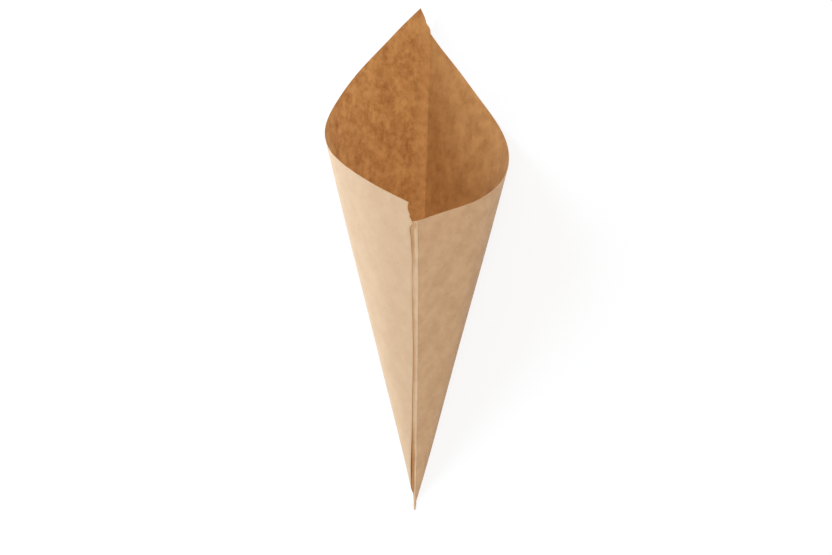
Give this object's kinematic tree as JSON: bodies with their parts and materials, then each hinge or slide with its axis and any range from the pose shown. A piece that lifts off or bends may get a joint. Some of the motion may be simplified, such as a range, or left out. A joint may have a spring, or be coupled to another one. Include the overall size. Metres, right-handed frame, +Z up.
{
  "type": "paper cone bag",
  "caption": "Opened kraft paper cone bag with a folded back crease, a glued front seam over a flap, and torn sheet ends at the rim.",
  "frame": {"origin": "middle of the footprint, on the floor that the cone lies on", "axes": "+Z up; +Y along the back crease, from the tip to the mouth; +X to the side that the resting strip leaves the crease on"},
  "size_m": [0.0878, 0.2534, 0.078],
  "materials": {
    "kraft_paper": "matte"
  },
  "bodies": {
    "root": {"paper_cone": "kraft_paper"}
  },
  "joints": []
}
